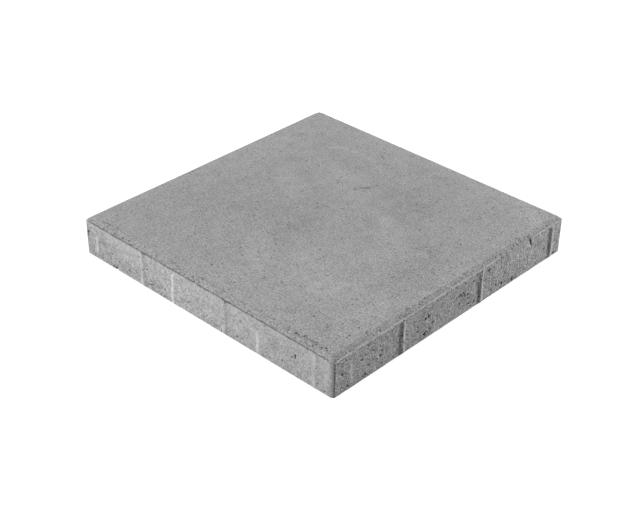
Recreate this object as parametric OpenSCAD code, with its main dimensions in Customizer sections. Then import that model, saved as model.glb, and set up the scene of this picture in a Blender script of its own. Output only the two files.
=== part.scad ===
// Concrete paving slab, cast in one piece.
// The underside lies on z = 0, centred on the origin, and the walking face is up.

/* [Slab] */
// Length along X between the side faces, without the ribs
slab_length = 398; // [200:1:600]
// Width along Y between the front and back faces, without the ribs
slab_width = 398; // [200:1:600]
// Thickness from the underside to the walking face
slab_thickness = 50; // [35:1:100]
// Radius of the four upright corners
corner_radius = 3; // [1:0.5:10]

/* [Top chamfer] */
// How far the chamfer runs in from each side face
chamfer_run = 7; // [2:0.5:12]
// How far the chamfer falls below the walking face
chamfer_drop = 4; // [1:0.5:10]

/* [Spacer ribs] */
// Width of a rib where it leaves its face
rib_width = 10; // [6:0.5:20]
// Width of the narrow flat along the crest of a rib
rib_crest = 1.5; // [0.5:0.5:5]
// How far a rib stands proud, which is the joint between laid slabs
rib_height = 2; // [1:0.25:3]
// Distance between neighbouring ribs on one face
rib_pitch = 135; // [60:1:200]
// From the right hand end of the front or back face, seen from outside, to its nearest rib
rib_margin_front = 25.5; // [16:0.5:60]
// From the right hand end of a side face, seen from outside, to its nearest rib
rib_margin_side = 20.5; // [16:0.5:60]
// Plain strip left between the top of a rib and the foot of the chamfer
rib_gap = 1; // [0:0.5:10]
// Height of the slope that ends a rib at the top
rib_slope = 3; // [1:0.5:10]
// Height of the slope that ends a rib at the underside
rib_foot = 2; // [0.5:0.5:10]

/* [Hidden] */
$fn = 96;

// Height of the edge between a side face and the chamfer
chamfer_foot = slab_thickness - chamfer_drop;
// Height of the top end of a rib
rib_top = chamfer_foot - rib_gap;
// How deep a rib is rooted in the slab
rib_root = 1;

// Outline of the slab from above, with its rounded corners.
module plan() {
    square([slab_length - 2 * corner_radius, slab_width], center = true);
    square([slab_length, slab_width - 2 * corner_radius], center = true);
    for (x = [-1, 1], y = [-1, 1])
        translate([x * (slab_length / 2 - corner_radius), y * (slab_width / 2 - corner_radius)])
            circle(r = corner_radius);
}

// Cross-section of the given span: square below, chamfered on both top edges.
module section(span) {
    polygon([
        [-span / 2, 0],
        [span / 2, 0],
        [span / 2, chamfer_foot],
        [span / 2 - chamfer_run, slab_thickness],
        [chamfer_run - span / 2, slab_thickness],
        [-span / 2, chamfer_foot]
    ]);
}

// The block without ribs. The two sections cross, so the chamfers meet in mitres.
module block() {
    intersection() {
        linear_extrude(height = slab_thickness)
            plan();
        rotate([90, 0, 0])
            linear_extrude(height = slab_width, center = true)
                section(slab_length);
        rotate([90, 0, 90])
            linear_extrude(height = slab_length, center = true)
                section(slab_width);
    }
}

// A rib from above, on a face at y = 0 that looks along -Y: two slopes up to a narrow crest.
module rib_plan() {
    polygon([
        [-rib_width / 2, rib_root],
        [-rib_width / 2, 0],
        [-rib_crest / 2, -rib_height],
        [rib_crest / 2, -rib_height],
        [rib_width / 2, 0],
        [rib_width / 2, rib_root]
    ]);
}

// A rib from the side, in Y and Z: a slope at each end.
module rib_profile() {
    polygon([
        [rib_root, 0],
        [0, 0],
        [-rib_height, rib_foot],
        [-rib_height, rib_top - rib_slope],
        [0, rib_top],
        [rib_root, rib_top]
    ]);
}

// One rib, where its plan and its profile cross.
module rib() {
    intersection() {
        linear_extrude(height = rib_top)
            rib_plan();
        rotate([90, 0, 90])
            linear_extrude(height = rib_width, center = true)
                rib_profile();
    }
}

// The ribs of one face of the given span, counted from its right hand end.
module rib_row(span, margin) {
    for (x = [span / 2 - margin : -rib_pitch : margin - span / 2])
        translate([x, 0, 0])
            rib();
}

module slab() {
    color([0.61, 0.61, 0.61]) {
        block();
        for (turn = [0, 180]) {
            rotate(turn)
                translate([0, -slab_width / 2, 0])
                    rib_row(slab_length, rib_margin_front);
            rotate(turn + 90)
                translate([0, -slab_length / 2, 0])
                    rib_row(slab_width, rib_margin_side);
        }
    }
}

slab();
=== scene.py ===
"""A concrete paving slab lying flat on a pale floor, in soft studio light."""
import math
import random

import bmesh
import bpy
from mathutils import Matrix, Vector, kdtree, noise


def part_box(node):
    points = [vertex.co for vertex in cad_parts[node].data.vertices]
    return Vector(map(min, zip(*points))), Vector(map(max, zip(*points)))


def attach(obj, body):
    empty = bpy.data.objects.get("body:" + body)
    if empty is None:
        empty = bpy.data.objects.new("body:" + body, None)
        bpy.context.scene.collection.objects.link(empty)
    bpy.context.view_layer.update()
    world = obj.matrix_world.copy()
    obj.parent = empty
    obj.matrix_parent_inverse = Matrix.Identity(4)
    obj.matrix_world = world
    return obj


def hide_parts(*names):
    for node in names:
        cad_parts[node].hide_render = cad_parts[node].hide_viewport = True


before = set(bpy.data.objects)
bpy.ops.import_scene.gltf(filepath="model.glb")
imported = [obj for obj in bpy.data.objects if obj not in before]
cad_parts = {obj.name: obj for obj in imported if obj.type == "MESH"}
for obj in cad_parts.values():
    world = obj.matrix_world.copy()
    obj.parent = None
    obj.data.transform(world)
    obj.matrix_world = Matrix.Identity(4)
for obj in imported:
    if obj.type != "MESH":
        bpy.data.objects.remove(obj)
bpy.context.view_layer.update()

# The cast block
# One piece of damp concrete, pressed face up in a steel mould and stripped at once. The press plate
# forms the flat walking face and its chamfer, and the mould walls form the four upright sides.
MM = 0.001
rib_height = 2 * MM
slab_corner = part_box("slab")[1]
half = slab_corner[0] - rib_height
thickness = slab_corner[2]
chamfer_run = 7 * MM
chamfer_drop = 4 * MM
chamfer_foot = thickness - chamfer_drop
rim_width = 0.6 * MM
column_step = 2.0 * MM
row_step = 1.5 * MM

rib_width = 10 * MM
rib_pitch = 135 * MM
rib_margins = (25.5 * MM, 20.5 * MM)
rib_places = [[half - margin - n * rib_pitch for n in range(3)] for margin in rib_margins]
rib_cuts = (-0.56, -0.44, -0.1, 0, 0.1, 0.44, 0.56)

# The skin carries these for its material: how open it is, how much paler or darker, the painted shade in its
# holes, its distance from the nearest rubbed line in millimetres, and the level of that line.
block = bmesh.new()
openness = block.verts.layers.float.new("openness")
tint = block.verts.layers.float.new("tint")
painted_hole_shade = block.verts.layers.float.new("painted_hole_shade")
rub_offset = block.verts.layers.float.new("rub_offset")
rub_level = block.verts.layers.float.new("rub_level")
bmesh.ops.create_cube(block, size=1)
bmesh.ops.scale(block, vec=(2 * half, 2 * half, chamfer_foot), verts=block.verts)
bmesh.ops.translate(block, vec=(0, 0, chamfer_foot / 2), verts=block.verts)


def cut_block(axis, place):
    """Cuts the block through at a place on one axis, so that an edge loop lies there."""
    across = Vector((axis == 0, axis == 1, axis == 2))
    parts = block.verts[:] + block.edges[:] + block.faces[:]
    bmesh.ops.bisect_plane(block, geom=parts, plane_co=across * place, plane_no=across)


rim_insets = (rim_width, 2 * rim_width, chamfer_run - rim_width, chamfer_run, chamfer_run + rim_width)
for axis in (0, 1):
    for side in (-1, 1):
        for inset in rim_insets:
            cut_block(axis, side * (half - inset))
        for place in rib_places[axis]:
            for share in rib_cuts:
                cut_block(axis, side * place + share * rib_width)
for drop in (rim_width, 2 * rim_width):
    cut_block(2, chamfer_foot - drop)

underside = [f for f in block.faces if f.normal.z < -0.5]
bmesh.ops.delete(block, geom=underside, context="FACES")

for axis, step in ((0, column_step), (1, column_step), (2, row_step)):
    by_cuts = {}
    for e in block.edges:
        run = e.verts[1].co - e.verts[0].co
        if abs(run[axis]) > 0.9 * run.length:
            by_cuts.setdefault(max(0, round(run.length / step) - 1), []).append(e)
    for cuts, edges in by_cuts.items():
        if cuts:
            bmesh.ops.subdivide_edges(block, edges=edges, cuts=cuts)

# The blow holes
# Air that stayed in the mix leaves small ragged holes, mostly on the sides and along the chamfer. The
# skin gets finer faces around each of them here, and is sunk once its shape is done.
FRONT, RIGHT, BACK, LEFT = range(4)
quarter_turns = [Matrix.Rotation(n * math.pi / 2, 3, "Z") for n in range(4)]
holes = []


def side_hole(side, along, height, radius):
    """Notes a hole on a side, in millimetres along it and up it."""
    holes.append((quarter_turns[side] @ Vector((along * MM, -half, height * MM)), radius * MM))


def top_hole(side, along, inset, radius):
    """Notes a hole in the walking face or its chamfer, in millimetres along a side and in from it."""
    place = Vector((along * MM, inset * MM - half, chamfer_foot))
    holes.append((quarter_turns[side] @ place, radius * MM))


# Each hole on a side has its place along the side, its height and its radius.
front_holes = (
    (145, 28, 1.2), (145, 26, 1.5), (145, 24, 1.3), (141, 23, 1.2), (140, 21, 1.0), (58, 6, 1.6),
    (-146, 1, 2.2), (-151, 2, 1.8), (-65, 12, 1.3), (-67, 3, 1.3), (-62, 2, 1.2), (-84, 7, 1.5),
    (-88, 6, 1.4), (-81, 8, 1.2), (-195, 31, 1.8), (-197, 29, 1.6), (-197, 25, 1.4), (-191, 37, 1.1),
    (-153, 18, 1.3), (-113, 21, 1.0), (-121, 17, 1.1), (89, 32, 1.1), (168, 17, 1.0), (187, 3, 1.4),
    (175, 27, 1.0), (178, 9, 0.9), (30, 6, 0.9), (37, 15, 1.0), (-15, 6, 1.0), (-125, 3, 1.0),
    (-117, 3, 1.0), (-190, 5, 1.0),
)
for along, height, radius in front_holes:
    side_hole(FRONT, along, height, radius)
right_holes = (
    (8, 27.5, 1.4), (12, 29, 1.3), (14, 25, 1.2), (9, 23.5, 1.1), (26, 20, 1.2), (22, 10, 1.3), (33, 8, 1.4),
    (84, 8, 2.1), (73, 10, 1.4), (64, 8, 1.5), (104, 3, 2.0), (99, 3, 1.4), (104, 6, 1.5), (58, 37, 1.8),
    (55, 38, 1.3), (80, 44, 1.5), (158, 42, 1.4), (166, 20, 1.0), (187, 2, 1.5), (-150, 5, 1.7),
    (-154, 5, 1.5), (-150, 30, 1.3), (-156, 26, 1.4), (-186, 24, 2.0), (-177, 5, 1.7), (-138, 38, 1.2),
    (-127, 17, 1.7), (-145, 15, 1.2), (-48, 27, 2.2), (-53, 26, 1.9), (-54, 7, 1.8), (-41, 16, 1.5),
    (-67, 16, 1.4), (43, 42, 1.5), (45, 31, 1.6), (41, 10, 1.3), (-93, 26, 1.5), (-91, 16, 1.4),
    (134, 45, 1.6), (135, 43, 1.9), (136, 41, 2.0), (136, 39, 1.8), (137, 37, 1.5), (138, 35, 1.1),
)
for along, height, radius in right_holes:
    side_hole(RIGHT, along, height, radius)

# Each hole by an edge has its place along the side, its distance in from it and its radius.
front_edge_holes = (
    (141, 7, 1.2), (144, 7, 0.9), (150, 8, 1.2), (152, 10, 1.1), (155, 8, 1.1), (158, 9, 0.9), (161, 8, 1.2),
    (164, 8, 1.1), (168, 7, 1.2), (176, 7, 1.2), (180, 9, 1.4), (183, 7, 1.2), (-17, 33, 1.4), (182, 42, 1.3),
    (108, 40, 1.1), (-15, 4, 1.2), (55, 65, 1.2), (-3, 7, 1.1), (-37, 4, 1.1), (132, 41, 1.2), (158, 30, 1.2),
    (191, 57, 1.1), (-98, 5, 1.1), (-168, 8, 1.1),
)
for along, inset, radius in front_edge_holes:
    top_hole(FRONT, along, inset, radius)
right_edge_holes = (
    (-142, 7, 1.1), (-113, 6, 1.0), (-80, 6, 1.0), (-77, 7, 0.9), (-50, 5, 1.3), (-62, 3, 1.1), (-3, 2, 1.0),
    (17, 1.5, 1.1), (27, 1.5, 1.2), (16, 5, 1.0), (82, 6, 1.0), (117, 5, 1.0), (169, 6, 1.0), (134, 1.3, 1.4),
)
for along, inset, radius in right_edge_holes:
    top_hole(RIGHT, along, inset, radius)

# The small ones are scattered: on three sides, then along the chamfer of each side and over the face
# beside it. A side has its number of holes and their least radius.
draw = random.Random(41)
scattered_on_sides = ((RIGHT, 62, 0.9), (BACK, 50, 0.7), (LEFT, 50, 0.7))
scattered_on_chamfers = (0, 4, 8, 8)
scattered_on_face = 22
for side, number, least in scattered_on_sides:
    for _ in range(number):
        side_hole(side, draw.uniform(-196, 196), draw.uniform(1, 45), least + draw.uniform(0, 0.4))
for side, number in enumerate(scattered_on_chamfers):
    for _ in range(number):
        top_hole(side, draw.uniform(-190, 190), draw.uniform(4, 10), draw.uniform(0.7, 1.1))
    for _ in range(scattered_on_face):
        top_hole(side, draw.uniform(-190, 190), draw.triangular(12, 190, 12), draw.uniform(0.7, 1.1))

widest_reach = 4 * MM
hole_tree = kdtree.KDTree(len(holes))
for n, (place, radius) in enumerate(holes):
    hole_tree.insert(place, n)
hole_tree.balance()
for reach in (1.6, 1.0):
    finer = []
    for e in block.edges:
        middle = (e.verts[0].co + e.verts[1].co) / 2
        near = hole_tree.find_range(middle, widest_reach)
        if any(far < reach * holes[n][1] for _, n, far in near):
            finer.append(e)
    bmesh.ops.subdivide_edges(block, edges=finer, cuts=1, use_grid_fill=True)

# The chamfer and its fin
# The press plate has a bevelled rim. Cement paste creeps up between it and the mould wall, and leaves a thin
# fin along the foot of the chamfer. Its line is painted paler, partly as a painted highlight where the fin
# catches the light. Along the front it broke off, and a dark line of painted shade runs along that edge.
flat_gap = 0.1 * MM
tip_droop = 1.3 * MM
tip_reach = 9 * MM
narrowing_length = 20 * MM
crease_width = 1.2 * MM
edge_band = 50 * MM
painted_fin_shadow = -0.07
fin_fade = 2.5 * MM
shade_line_end = 197 * MM
crumbled_middle = 108 * MM
crumbled_reach = 35 * MM
crumbled_fade = 12 * MM
chamfer_openness = (0.48, 0.65, 0.48, 0.48)
# Tone of the chamfer at the two ends of each side.
chamfer_tints = ((-0.11, -0.01), (-0.04, -0.08), (0.0, 0.0), (0.0, 0.0))
# How far under the foot of the chamfer the line of the fin lies on each side, how far it reaches from
# there, and how much it closes the skin.
line_depths = (0.55 * MM, 0.7 * MM, 0.4 * MM, 0.4 * MM)
line_reaches = (1.25 * MM, 1.05 * MM, 1.1 * MM, 1.1 * MM)
line_closing = 0.8


def clamped(value):
    """The value, held between 0 and 1."""
    return min(1, max(0, value))


def between(ends, share):
    """The value at a share of the way from one end to the other."""
    return ends[0] + (ends[1] - ends[0]) * share


def over_length(ends, along):
    """The value at a place along a side, from its values at the two ends of the side."""
    return between(ends, (along / half + 1) / 2)


def beside(co):
    """The side nearest to a point, the point's place along that side and its distance in from it."""
    side = max(range(4), key=lambda n: (-co.y, co.x, co.y, -co.x)[n])
    local = quarter_turns[side].transposed() @ co
    return side, local.x, local.y + half


def fin_at(side, along):
    """How far the fin stands up at a place along a side, and how its line is painted there: paler, partly as
    a painted highlight, and on the front darker, as painted shade.
    """
    whole = clamped((half - abs(along)) / fin_fade)
    patchy = noise.noise(Vector((along * 60, 5 * side, 0)))
    if side == FRONT:
        # Along the front the line gets painted shade, dark but for its two ends.
        painted_edge_shade = clamped((along + shade_line_end) / (12 * MM)) * clamped((shade_line_end - along) / (5 * MM))
        return -0.2 * MM * whole, -0.9 * painted_edge_shade * (1 + 0.2 * patchy)
    if side in (BACK, LEFT):
        return (0.2 + 0.1 * patchy) * whole * MM, 0.4 * whole
    crumbled = clamped((crumbled_reach - abs(along - crumbled_middle)) / crumbled_fade)
    stands = (0.3 + 0.1 * patchy) * (1 - crumbled) - 0.9 * crumbled * (0.7 + patchy)
    # The pale line is partly the fin's own paler paste and partly a painted highlight.
    fin_tone_and_painted_light = over_length((1.25, 0.45), along) * (1 - 0.8 * crumbled) * (1 + 0.25 * patchy)
    return stands * whole * MM, fin_tone_and_painted_light * whole


on_top = [v for v in block.verts if v.co.z > chamfer_foot - flat_gap]
on_side = [v for v in block.verts if v.co.z < chamfer_foot - flat_gap]
fin_line = {}
for v in on_top + on_side:
    side, along, inset = beside(v.co)
    droop = tip_droop * max(0, 1 - math.hypot(inset, half - abs(along)) / tip_reach) ** 2
    stands, fin_tone_and_painted_light = fin_at(side, along)
    below = chamfer_foot - v.co.z - inset
    fin_line[v] = clamped(1 - abs(below - line_depths[side]) / line_reaches[side])
    # The line along the foot of the chamfer is painted: paler on the right, back and left, partly as a
    # painted highlight, and darker on the front, as painted shade.
    v[tint] = fin_tone_and_painted_light * fin_line[v]
    if v.co.z < chamfer_foot - flat_gap:
        v.co.z *= 1 - droop / chamfer_foot
        continue
    run = chamfer_run
    if side == RIGHT:
        run -= rim_width * clamped((half - abs(along)) / narrowing_length)
    v.co.z += chamfer_drop * min(1, inset / run) - droop
    if inset < 1.5 * rim_width:
        v.co.z += stands
    edge = clamped(1 - inset / edge_band)
    plain = 0.1 + 0.2 * edge + 0.65 * v.co.x - 1.1 * v.co.y
    v[openness] = max(chamfer_openness[side] * clamped(1.4 - inset / run), plain)
    v[openness] *= 1 - line_closing * fin_line[v]
    v[tint] += 0.05 * edge
    sloping = clamped((run - inset) / crease_width)
    v[tint] += sloping * over_length(chamfer_tints[side], along)
    # Just behind the fin on the right side the chamfer is painted darker, as painted shade of the fin.
    if side == RIGHT and 0.5 * rim_width < inset < 2.5 * rim_width:
        v[tint] += painted_fin_shadow
    # Along the crease at the top of the chamfer the tone varies at random, and on all but the right side it
    # is painted darker, as painted shade in the crease.
    if abs(inset - run) < 1.5 * rim_width:
        v[tint] += 0.06 * noise.noise(Vector((along * 130, 3 * side, 4))) - 0.05 * (side != RIGHT)

# The corner between front and right is rolled over on its front side, but less so right under the chamfer.
# Each of the other three is rounded by its own radius.
roll_radius = 5.5 * MM
roll_reach = 4.9 * MM
roll_depth = 8 * MM
lip_height = 2 * MM
lip_share = 0.3
corner_radii = {(1, 1): 1.2 * MM, (-1, 1): 3 * MM, (-1, -1): 0.8 * MM}
for v in block.verts:
    corner = (math.copysign(1, v.co.x), math.copysign(1, v.co.y))
    if corner not in corner_radii:
        past = max(0, v.co.x - half + roll_reach)
        sunk = roll_radius - math.sqrt(roll_radius**2 - past**2)
        sunk *= between((lip_share, 1), clamped((chamfer_foot - tip_droop - v.co.z) / lip_height))
        v.co.y += sunk * clamped(1 - (v.co.y + half) / roll_depth)
        continue
    straight = half - corner_radii[corner]
    past = Vector((max(0, abs(v.co.x) - straight), max(0, abs(v.co.y) - straight)))
    if min(past) > 0:
        past *= max(past) / past.length
        v.co.x = math.copysign(straight + past.x, v.co.x)
        v.co.y = math.copysign(straight + past.y, v.co.y)

# The walking face
# The press plate closes its skin. Paste that the plate drew along lies on it in pale and dark smears, and
# something round that once stood there has left a faint ring.
# The face is painted lighter towards the front and darker towards the back, as a painted fall of the light
# across it.
painted_light_fall_to_back = 0.13
# Each layer of clouds has its level, its scale along and across, and its layer of the noise.
cloud_layers = ((0.03, 28, 13, 3), (0.05, 75, 45, 5), (0.04, 160, 110, 7))
# Each smear has its place, its reach along and across its own direction, that direction in degrees, and
# its level. All of them are bent a little, so that none is a plain oval.
bend = 6
bend_scale = 30
smears = (
    (-46, 91, 30, 15, 10, 0.10), (-22, 58, 20, 12, 0, 0.08), (-78, 26, 30, 14, -30, 0.09),
    (59, 41, 18, 9, -10, 0.11), (87, 15, 26, 14, -35, 0.09), (54, -79, 34, 24, -40, 0.10),
    (109, -104, 40, 24, 20, 0.14), (-8, -101, 34, 13, -48, 0.12), (100, -30, 34, 24, 80, 0.06),
    (168, 172, 28, 15, -20, 0.12), (108, 176, 34, 12, 0, 0.04), (-166, 70, 90, 24, 90, 0.06),
    (-81, 176, 34, 12, 0, 0.03), (60, -142, 90, 30, 0, 0.06), (168, -125, 60, 24, 90, 0.10),
    (110, -182, 40, 16, 0, 0.06), (5, -174, 46, 20, 0, 0.06), (132, 70, 24, 14, 40, 0.05),
    (-16, -20, 62, 26, -66, -0.07), (69, 88, 48, 28, 80, -0.09), (154, -5, 62, 25, 90, -0.06),
    (-111, -69, 62, 30, 10, -0.06), (-160, -14, 32, 15, 0, -0.05), (-61, 116, 46, 12, 0, -0.07),
    (-128, 66, 30, 14, 80, -0.06), (158, -168, 44, 15, 0, -0.04), (30, 165, 40, 15, 0, -0.08),
    (28, 100, 34, 28, 0, -0.10), (132, 24, 20, 14, 0, -0.06), (-70, -30, 30, 14, 20, -0.05),
)
# Each arc of the ring has its centre and radius, its first and last bearing, its half width and its level.
ring_marks = (
    (-64, 114, 62, -43.5, -16, 3.8, -0.34), (-64, 114, 62, -16, 24, 4.0, -0.13),
    (-64, 114, 62, -2, 6, 4.0, -0.22), (-72, 75, 69, 45, 130, 3.0, 0.14),
)
for v in on_top:
    p = v.co.copy()
    p.z = 0
    level = -painted_light_fall_to_back * p.y
    for strength, along_scale, across_scale, layer in cloud_layers:
        level += strength * noise.noise(Vector((along_scale * p.x, across_scale * p.y, layer)))
    x = p.x / MM + bend * noise.noise(Vector((bend_scale * p.x, bend_scale * p.y, 0.5)))
    y = p.y / MM + bend * noise.noise(Vector((bend_scale * p.x, bend_scale * p.y, 9.5)))
    mottle = 1 + 1.2 * noise.noise(p * 100) + 0.9 * noise.noise(p * 240)
    for mid_x, mid_y, long, wide, turn, strength in smears:
        way = math.radians(turn)
        far_along = ((x - mid_x) * math.cos(way) + (y - mid_y) * math.sin(way)) / long
        far_across = ((y - mid_y) * math.cos(way) - (x - mid_x) * math.sin(way)) / wide
        level += strength * mottle * math.exp(-far_along**2 - far_across**2)
    for mid_x, mid_y, radius, first, last, wide, strength in ring_marks:
        bearing = math.degrees(math.atan2(p.y / MM - mid_y, p.x / MM - mid_x))
        off = abs(math.hypot(p.x / MM - mid_x, p.y / MM - mid_y) - radius + 3.5 * noise.noise(p * 110))
        if first < bearing < last:
            level += strength * max(0, 1 - off / wide) * max(0, 1 + 2.4 * noise.noise(p * 180))
    v[tint] += level

# The spacer ribs
# Low ridges that the mould leaves on every side, from the underside nearly up to the chamfer. They keep
# the joint open between laid slabs. In a stack their crests rub pale, and rub pale lines on the next slab.
rib_crest = 1.5 * MM
rib_slope = 3 * MM
rib_foot = 2 * MM
rib_top = chamfer_foot - 1 * MM
rib_start = -0.2 * MM
rib_sway = 0.7 * MM
crest_share = 0.75
# What wear has left of each rib's height, and how pale the crests of each side are.
rib_wear = ((0.55, 0.4, 0.78), (0.92, 0.88, 0.9), (0.8, 0.9, 0.7), (0.9, 0.7, 0.85))
crest_tints = (0.04, 0.10, 0.04, 0.04)
# Each rubbed line has its place along the side, its level, and its lower and upper end.
rub_fade = 4 * MM
rub_sway = 1.2
rub_lines = (
    ((-180, 0.95, 10, 33), (-47, 1.15, 0, 42), (88.7, 0.9, 0, 30), (-98.3, 0.9, 0, 13), (36.3, 0.8, 2, 13),
     (173.2, 0.35, 28, 43), (173.2, 0.45, 3, 11)),
    ((-171.5, 1.3, 8, 40), (-36, 0.4, 0, 40), (100, 0.4, 0, 42), (-89.5, 0.5, 0, 43), (46, 0.5, 0, 43),
     (180, 0.4, 0, 43)),
    ((-183, 0.6, 0, 44), (-50, 0.9, 0, 30), (84, 0.7, 6, 40), (39, 0.5, 0, 30)),
    ((-175, 0.7, 0, 38), (-40, 0.6, 0, 42), (97, 0.9, 4, 36), (-92, 0.5, 10, 40)),
)
# Tone and openness at the foot and at the top of each side, and what each bay between ribs adds.
side_tints = ((-0.07, 0.09), (0.13, 0.15), (-0.06, 0.05), (-0.06, 0.05))
side_openness = ((0.45, 0.1), (1.0, 1.0), (0.6, 0.3), (0.65, 0.4))
bay_openness = ((-0.12, -0.12, 0.10, -0.18), (0, 0.12, 0, 0), (0.1, -0.1, 0.1, 0), (0, 0.1, -0.1, 0.1))
# Stains and paler patches on a side. On the front there is also painted shade at the top ends of the ribs
# near 40 and -95, down the upper part of the one near 40, and down the shaded flank of the rib near -96 with
# a painted highlight beside it. There is painted shade on the rounded corner by the right side too. Each has
# its place along and up the side, reach along and up, and level.
side_stains_and_shade = (
    ((-182, 18, 34, 40, -0.17), (-130, 12, 25, 14, -0.06), (-82, 7, 10, 9, -0.12), (-20, 6, 34, 14, 0.15),
     (15, 19, 16, 8, 0.07), (-28, 30, 12, 10, 0.06), (78, 8, 22, 12, 0.08), (150, 36, 50, 12, -0.05),
     (185, 6, 26, 10, 0.07), (95, 36, 8, 8, -0.07), (-169, 28, 9, 4, -0.35), (-153, 18, 5, 3, -0.12),
     (-7, 23, 8, 5, -0.13), (4, 18, 6, 4, -0.08), (22, 5, 10, 3, -0.12), (48, 9, 6, 4, -0.08),
     (113, 23, 8, 4, -0.12), (120, 30, 5, 3, -0.08), (145, 23, 6, 5, -0.08), (20, 10, 16, 8, 0.09),
     # Painted shade at the top ends of two ribs and on the rounded corner by the right side.
     (40, 44, 4, 2.5, -0.25), (-95, 44, 4, 2.5, -0.25), (-198, 34, 7, 16, -0.16), (197, 18, 5, 40, -0.10),
     # Painted shade on the upper part of the rib near 40 and down the shaded flank of the rib near -96, with
     # a painted highlight beside it.
     (39, 36, 5, 9, -0.08), (177, 7, 4, 5, 0.12), (-95.6, 28, 2, 40, -0.14), (-91, 28, 2.5, 40, 0.08),
     (-103.5, 7, 2.5, 6, -0.12)),
    ((-140, 14, 18, 16, 0.14), (-186, 20, 15, 40, 0.06), (-105, 37, 8, 8, 0.14), (-45, 37, 10, 7, -0.20),
     (12, 29, 12, 11, -0.16), (20, 22, 8, 6, -0.10), (108, 36, 14, 8, 0.14), (128, 36, 8, 8, 0.12),
     (135, 18, 10, 16, 0.14), (152, 29, 8, 5, -0.14), (157, 37, 6, 5, 0.10), (185, 36, 8, 8, 0.10),
     (60, 10, 10, 10, 0.08), (78, 43, 10, 4, -0.12), (-54, 9, 8, 6, -0.10), (-147, 26, 10, 10, 0.10),
     (45, 9, 6, 9, 0.12), (170, 23, 8, 6, 0.08), (71, 30, 5, 8, 0.12), (89, 15, 6, 4, -0.12),
     (117, 10, 5, 6, -0.14), (122, 16, 5, 4, -0.10), (-198, 18, 5, 40, 0.04), (42, 38, 6, 6, -0.2)),
    ((-150, 20, 40, 20, 0.08), (-70, 8, 26, 12, -0.12), (40, 32, 34, 14, 0.10), (120, 10, 20, 10, -0.10)),
    ((-120, 30, 36, 14, 0.10), (-30, 10, 30, 12, -0.12), (70, 14, 26, 16, 0.08), (150, 30, 22, 12, -0.10)),
)


def ridge(off):
    """Height of a rib's cross-section, as a share of its full height, at a distance from its middle."""
    return clamped((rib_width / 2 - abs(off)) / (rib_width / 2 - rib_crest / 2))


def rib_end(height):
    """What the slopes at a rib's two ends leave of it at a height, as a share of its full height."""
    return min(clamped((rib_top - height) / rib_slope), clamped((height - rib_start) / rib_foot))


def rubbed_along(height, low, high):
    """How whole a rubbed line is at a height, from nothing past its ends to all between them."""
    return clamped((high * MM - height) / rub_fade) * clamped((height - low * MM) / rub_fade + 1)


for v in on_side:
    for side, turn in enumerate(quarter_turns):
        local = turn.transposed() @ v.co
        if abs(local.y + half) > 0.01 * MM:
            continue
        up = v.co.z / chamfer_foot
        along = local.x
        bay = sum(along < place for place in rib_places[side % 2])
        v[tint] += between(side_tints[side], up)
        v[openness] = between(side_openness[side], up) + bay_openness[side][bay]
        v[openness] *= 1 - line_closing * fin_line[v]
        mottle = 1 + 0.8 * noise.noise(v.co * 120)
        # Stains, and on the front painted shade and highlights, are added to the tone.
        for mid, height, long, tall, strength in side_stains_and_shade[side]:
            far = ((along / MM - mid) / long) ** 2 + ((v.co.z / MM - height) / tall) ** 2
            v[tint] += strength * mottle * math.exp(-far)
        for place, wear in zip(rib_places[side % 2], rib_wear[side]):
            sway = rib_sway * noise.noise(Vector((side, place, 60 * v.co.z)))
            share = ridge(along - place + sway) * rib_end(v.co.z)
            local.y -= rib_height * min(1, share * wear * (1 + 0.25 * noise.noise(v.co * 60)))
            if share > crest_share:
                v[tint] += crest_tints[side] * (1 + noise.noise(v.co * 80))
        sway = rub_sway * noise.noise(Vector((side, 7, 45 * v.co.z)))
        nearest = min((line[0] for line in rub_lines[side]), key=lambda place: abs(along - place * MM))
        v[rub_offset] = along / MM - nearest + sway
        v[rub_level] = max(level * rubbed_along(v.co.z, low, high)
                           for place, level, low, high in rub_lines[side] if place == nearest)
        v.co = turn @ local
        break

# The rough skin
# Sides that slid along the mould wall are open and sandy with crumbled edges, while the pressed face is
# closed and nearly flat. The underside is flat too, and open where it lay on the board.
crumbled_foot = 2 * MM
block.normal_update()
upright = set(on_side)
for v in block.verts:
    p = v.co.copy()
    lift = 0.10 * noise.noise(p * 14)
    if v in upright:
        lift += (0.05 + 0.13 * v[openness]) * noise.noise(p * 70) + 0.22 * v[openness] * noise.noise(p * 300)
        if p.z < crumbled_foot:
            lift -= 0.9 * max(0, noise.noise(p * 110) - 0.35)
    else:
        smooth = 0.06 if p.z > thickness - flat_gap else 0.03
        lift += smooth * (noise.noise(p * 90) + noise.noise(p * 300))
    away = v.normal.copy()
    if p.z < flat_gap:
        away.z = 0
    v.co = p + away * lift * MM

# Each hole is a ragged bowl, and a wide one gets painted shade inside.
skin_tree = kdtree.KDTree(len(block.verts))
block.verts.ensure_lookup_table()
for n, v in enumerate(block.verts):
    skin_tree.insert(v.co, n)
skin_tree.balance()
for place, radius in holes:
    if place.z > chamfer_foot - flat_gap:
        place.z += chamfer_drop
    centre = skin_tree.find(place)[0]
    darkness = clamped((radius - 0.4 * MM) / (1.1 * MM))
    for co, n, far in skin_tree.find_range(centre, 1.3 * radius):
        v = block.verts[n]
        far *= 1 + 0.5 * noise.noise(co * 700)
        bowl = clamped(1.25 * (1 - (far / radius) ** 2))
        inward = -v.normal
        if v.co.z < flat_gap:
            inward.z = 0
        v.co += inward * 0.9 * radius * bowl
        v[painted_hole_shade] = max(v[painted_hole_shade], bowl * darkness)

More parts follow.
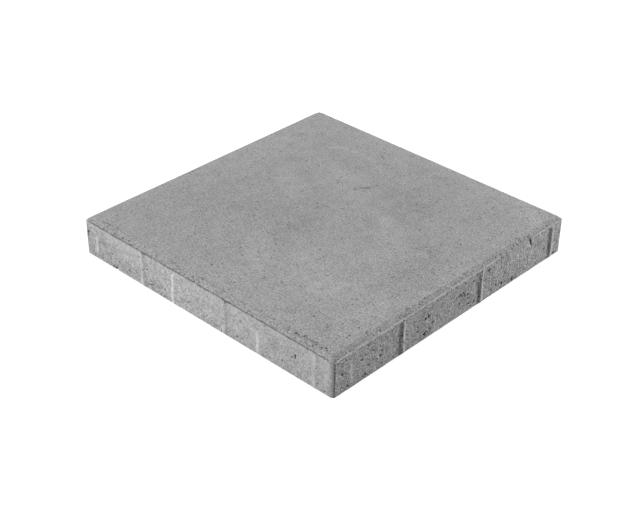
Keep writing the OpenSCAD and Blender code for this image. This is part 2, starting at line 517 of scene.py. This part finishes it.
# The underside closes with a narrow band along its edge and one face within.
board_band = 6 * MM
foot_edges = [e for e in block.edges if e.is_boundary]
added = bmesh.ops.extrude_edge_only(block, edges=foot_edges)["geom"]
inner_foot = [part for part in added if isinstance(part, bmesh.types.BMVert)]
bmesh.ops.scale(block, vec=(1 - board_band / half, 1 - board_band / half, 1), verts=inner_foot)
for v in inner_foot:
    v[openness] = 0.7
    v[tint] = 0
    v[painted_hole_shade] = 0
    v[rub_level] = 0
bmesh.ops.contextual_create(block, geom=[e for e in block.edges if e.is_boundary])
bmesh.ops.recalc_face_normals(block, faces=block.faces)
for f in block.faces:
    f.smooth = True

slab_mesh = bpy.data.meshes.new("paving_slab")
block.to_mesh(slab_mesh)
block.free()
slab_mesh.set_sharp_from_angle(angle=math.radians(60))
slab = bpy.data.objects.new("paving_slab", slab_mesh)
bpy.context.collection.objects.link(slab)
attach(slab, "root")
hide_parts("slab")

# The concrete
# Grey cement with fine sand: cloudy in tone, sandy to the touch, matte, with small dark pores and pale
# grains of sand. An open skin shows more of all of them than a closed one.
cement_grey = (0.33, 0.33, 0.33, 1)
hole_shade = 0.33
concrete = bpy.data.materials.new("grey_concrete")
concrete.use_nodes = True
tree_nodes = concrete.node_tree.nodes
tree_links = concrete.node_tree.links
shader = tree_nodes["Principled BSDF"]


def add(kind, inputs=(), **settings):
    """Adds a node, sets its properties, and sets or links its inputs by name or number."""
    new = tree_nodes.new(kind)
    for name, value in settings.items():
        setattr(new, name, value)
    for key, value in dict(inputs).items():
        if isinstance(value, bpy.types.NodeSocket):
            tree_links.new(value, new.inputs[key])
        else:
            new.inputs[key].default_value = value
    return new


def figure(operation, a, b=0.0):
    """One step of arithmetic on two values."""
    return add("ShaderNodeMath", {0: a, 1: b}, operation=operation).outputs[0]


def total(first, *parts):
    """A value with other values added, each times its weight."""
    for value, weight in parts:
        first = figure("ADD", first, figure("MULTIPLY", value, weight))
    return first


def ramp(value, low, high, start, end):
    """The value carried from one range to another, held at its ends."""
    return add("ShaderNodeMapRange", {"Value": value, "From Min": low, "From Max": high,
                                      "To Min": start, "To Max": end}).outputs[0]


def painted(name):
    """A value that the mesh carries."""
    return add("ShaderNodeAttribute", attribute_name=name).outputs["Fac"]


where = add("ShaderNodeTexCoord").outputs["Object"]
upright_draw = add("ShaderNodeMapping", {"Vector": where, "Scale": (1, 1, 0.08)}).outputs[0]
open_skin = painted("openness")


def by_skin(closed, opened):
    """A weight that grows from its value on a closed skin to its value on an open one."""
    return total(closed, (open_skin, opened - closed))


def cloud(scale, detail, place=where):
    """Noise of the given scale, around zero, mostly within plus and minus one."""
    blur = add("ShaderNodeTexNoise", {"Vector": place, "Scale": scale, "Detail": detail, "Roughness": 0.65})
    return add("ShaderNodeMapRange", {"Value": blur.outputs[0], "From Min": 0.3, "From Max": 0.7,
                                      "To Min": -1, "To Max": 1}, clamp=False).outputs[0]


def specks(scale, share, radius):
    """Round specks in a share of the cells of the given scale, 1 inside a speck."""
    cells = add("ShaderNodeTexVoronoi", {"Vector": where, "Scale": scale})
    dice = add("ShaderNodeSeparateColor", {0: cells.outputs["Color"]}).outputs[0]
    size = ramp(dice, 1 - share, 1, 0, radius)
    return ramp(figure("SUBTRACT", size, cells.outputs["Distance"]), 0, 0.15, 0, 1)


# Painted shade inside the wide holes.
shaded_holes = ramp(painted("painted_hole_shade"), 0.2, 0.7, 0, 1)
grain = cloud(420, 4)
sand = cloud(900, 2)
pores = specks(300, 0.3, 0.5)
pale_sand = specks(360, 0.25, 0.45)
off_line = figure("ABSOLUTE", painted("rub_offset"))
rubbed = figure("MULTIPLY", ramp(off_line, 0.9, 2.9, 1, 0), painted("rub_level"))
rubbed = figure("MULTIPLY", rubbed, ramp(cloud(90, 3), -0.8, 0.3, 0.6, 1))
drawn_streaks = ramp(open_skin, 0.4, 0.8, 0.04, 0.0)
tone = total(1.0, (cloud(12, 4), 0.03), (cloud(60, 3), by_skin(0.05, 0.12)),
             (cloud(170, 3), by_skin(0.04, 0.11)), (sand, by_skin(0.23, 0.39)),
             (grain, by_skin(0.32, 0.61)), (pores, by_skin(-0.38, -0.72)),
             (pale_sand, by_skin(0.17, 0.45)), (cloud(330, 2, upright_draw), drawn_streaks),
             (rubbed, 0.5), (painted("tint"), 1.0))
# The tone is held above a least value and darkened by the painted shade in the holes.
tone = figure("MULTIPLY", figure("MAXIMUM", tone, 0.25), ramp(shaded_holes, 0, 1, 1, hole_shade))
grey = add("ShaderNodeMixRGB", {0: 1.0, 1: cement_grey, 2: tone}, blend_type="MULTIPLY")
tree_links.new(grey.outputs[0], shader.inputs["Base Color"])
tree_links.new(ramp(grain, -1, 1, 0.85, 0.98), shader.inputs["Roughness"])
shader.inputs["Specular IOR Level"].default_value = 0.25
relief = total(grain, (sand, 0.5), (pores, -1.0), (pale_sand, 0.4))
bump = add("ShaderNodeBump", {"Height": relief, "Strength": ramp(open_skin, 0, 1, 0.4, 0.9),
                              "Distance": 0.4 * MM})
tree_links.new(bump.outputs[0], shader.inputs["Normal"])
slab_mesh.materials.append(concrete)

# The floor
# A plain pale studio floor. It shows white to the camera and keeps a faint shadow under the slab.
floor_mesh = bpy.data.meshes.new("floor")
sheet = bmesh.new()
bmesh.ops.create_grid(sheet, x_segments=1, y_segments=1, size=4)
sheet.to_mesh(floor_mesh)
sheet.free()
floor = bpy.data.objects.new("floor", floor_mesh)
bpy.context.collection.objects.link(floor)
pale_floor = bpy.data.materials.new("pale_floor")
pale_floor.use_nodes = True
tree_nodes = pale_floor.node_tree.nodes
tree_links = pale_floor.node_tree.links
tree_nodes.remove(tree_nodes["Principled BSDF"])


def seen_direct():
    """1 for a ray from the camera or one that a gloss or a glass passes on, and 0 for other light."""
    path = add("ShaderNodeLightPath")
    either = figure("MAXIMUM", path.outputs["Is Camera Ray"], path.outputs["Is Glossy Ray"])
    return figure("MAXIMUM", either, path.outputs["Is Transmission Ray"])


matt = add("ShaderNodeBsdfDiffuse", {"Color": (0.3, 0.3, 0.3, 1)})
glow = add("ShaderNodeEmission", {"Strength": figure("MULTIPLY", seen_direct(), 0.88)})
both = add("ShaderNodeAddShader", {0: matt.outputs[0], 1: glow.outputs[0]})
tree_links.new(both.outputs[0], tree_nodes["Material Output"].inputs["Surface"])
floor_mesh.materials.append(pale_floor)

# The light
# A large soft lamp on the left, a smaller one on the right and behind, and one over the back, with a
# little light from all round.
camera_azimuth = math.radians(43.0)
image_right = Vector((math.cos(camera_azimuth), math.sin(camera_azimuth), 0))
image_back = Vector((-math.sin(camera_azimuth), math.cos(camera_azimuth), 0))


def soft_lamp(name, right, back, up, far, width, level):
    """A square lamp that looks at the slab from a direction given in the camera's plan view.

    The level is what a white surface square to it would show at the slab.
    """
    lamp = bpy.data.lights.new(name, "AREA")
    lamp.size = width
    lamp.energy = level * math.pi**2 * far**2
    holder = bpy.data.objects.new(name, lamp)
    way = (image_right * right + image_back * back + Vector((0, 0, up))).normalized()
    holder.location = way * far
    holder.rotation_euler = way.to_track_quat("Z", "Y").to_euler()
    bpy.context.collection.objects.link(holder)


soft_lamp("left_lamp", -0.93, -0.30, 0.20, 2.4, 0.9, 1.14)
soft_lamp("right_lamp", 0.92, 0.34, 0.20, 2.4, 0.6, 1.14)
soft_lamp("back_lamp", 0.25, 0.70, 0.65, 5.0, 2.3, 0.565)

world = bpy.data.worlds.new("studio")
bpy.context.scene.world = world
world.use_nodes = True
tree_nodes = world.node_tree.nodes
tree_links = world.node_tree.links
tree_nodes["Background"].inputs["Color"].default_value = (1, 1, 1, 1)
tree_links.new(ramp(seen_direct(), 0, 1, 0.21, 1.0), tree_nodes["Background"].inputs["Strength"])

# The camera
# It stands in front of the corner between two sides and looks down on the slab.
camera_tilt = math.radians(90 - 32.47)
camera_roll = math.radians(0.885)
camera_distance = 1602.9 * MM
lens = bpy.data.cameras.new("camera")
lens.sensor_width = 36
lens.lens = 75.24
eye = bpy.data.objects.new("camera", lens)
bpy.context.collection.objects.link(eye)
aim = Matrix.Rotation(camera_azimuth, 4, "Z") @ Matrix.Rotation(camera_tilt, 4, "X")
stand = Matrix.Translation((-5.70 * MM, -1.91 * MM, camera_distance))
eye.matrix_world = aim @ stand @ Matrix.Rotation(camera_roll, 4, "Z")
bpy.context.scene.camera = eye
bpy.context.scene.view_settings.view_transform = "Standard"
